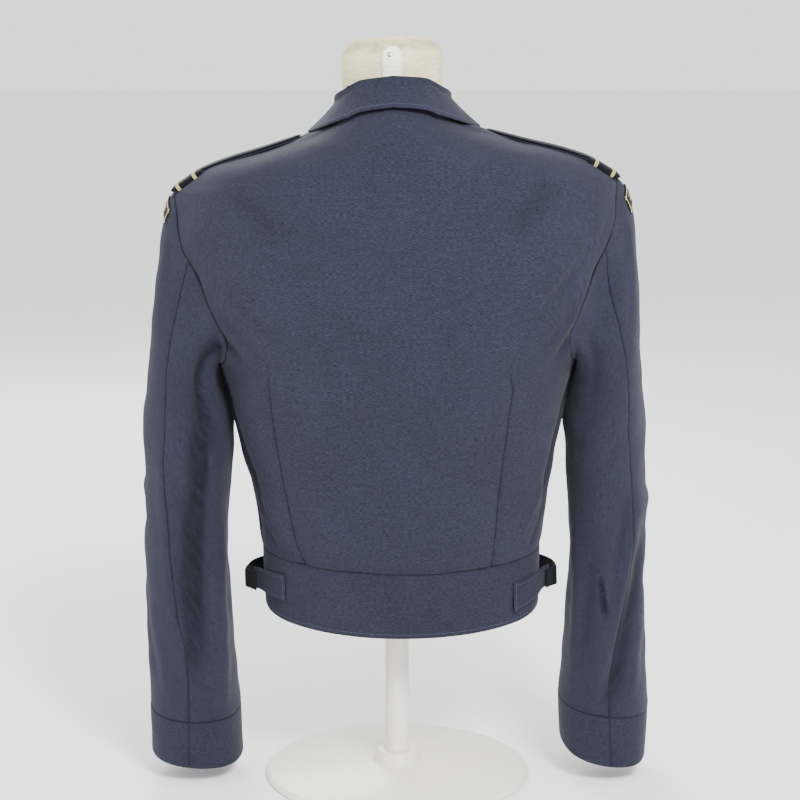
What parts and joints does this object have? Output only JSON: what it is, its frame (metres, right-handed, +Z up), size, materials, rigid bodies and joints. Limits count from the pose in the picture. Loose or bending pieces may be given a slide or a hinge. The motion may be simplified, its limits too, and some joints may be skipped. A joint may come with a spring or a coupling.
{
  "type": "uniform blouse on a dress form",
  "caption": "Waist-length blue-grey wool uniform blouse with waistband adjusters, shoulder straps and shirt collar, worn by a limbless dress form on a post and round base.",
  "frame": {"origin": "middle of the underside of the stand's round base", "axes": "+Z up along the post, -Y the blouse's buttoned front, +Y its back, +X the wearer's left sleeve"},
  "size_m": [0.5309, 0.28, 0.7776],
  "materials": {
    "serge": "blue-grey wool serge, matt",
    "dark_cloth": "black cloth with pale braid",
    "black_enamel": "black enamel, worn bright at corners",
    "dark_button": "dark blue, satin",
    "linen": "cream linen",
    "white_paint": "white satin paint"
  },
  "bodies": {
    "root": {"back": "serge", "front_left": "serge", "front_right": "serge", "band_back": "serge", "band_front_left": "serge", "band_front_right": "serge", "collar": "serge", "top_sleeve_left": "serge", "under_sleeve_left": "serge", "cuff_left": "serge", "shoulder_strap_left": "serge", "side_tab_left": "serge", "sleeve_title_left": "dark_cloth", "strap_slide_left": "dark_cloth", "side_strap_left": "dark_cloth", "side_buckle_left": "black_enamel", "strap_button_left": "dark_button", "top_sleeve_right": "serge", "under_sleeve_right": "serge", "cuff_right": "serge", "shoulder_strap_right": "serge", "side_tab_right": "serge", "sleeve_title_right": "dark_cloth", "strap_slide_right": "dark_cloth", "side_strap_right": "dark_cloth", "side_buckle_right": "black_enamel", "strap_button_right": "dark_button", "front_button_1": "dark_button", "front_button_2": "dark_button", "front_button_3": "dark_button", "front_button_4": "dark_button", "front_button_5": "dark_button", "band_button": "dark_button", "dress_form": "linen", "form_neck_tape": "linen", "stand_post": "white_paint", "stand_base": "white_paint"}
  },
  "joints": []
}
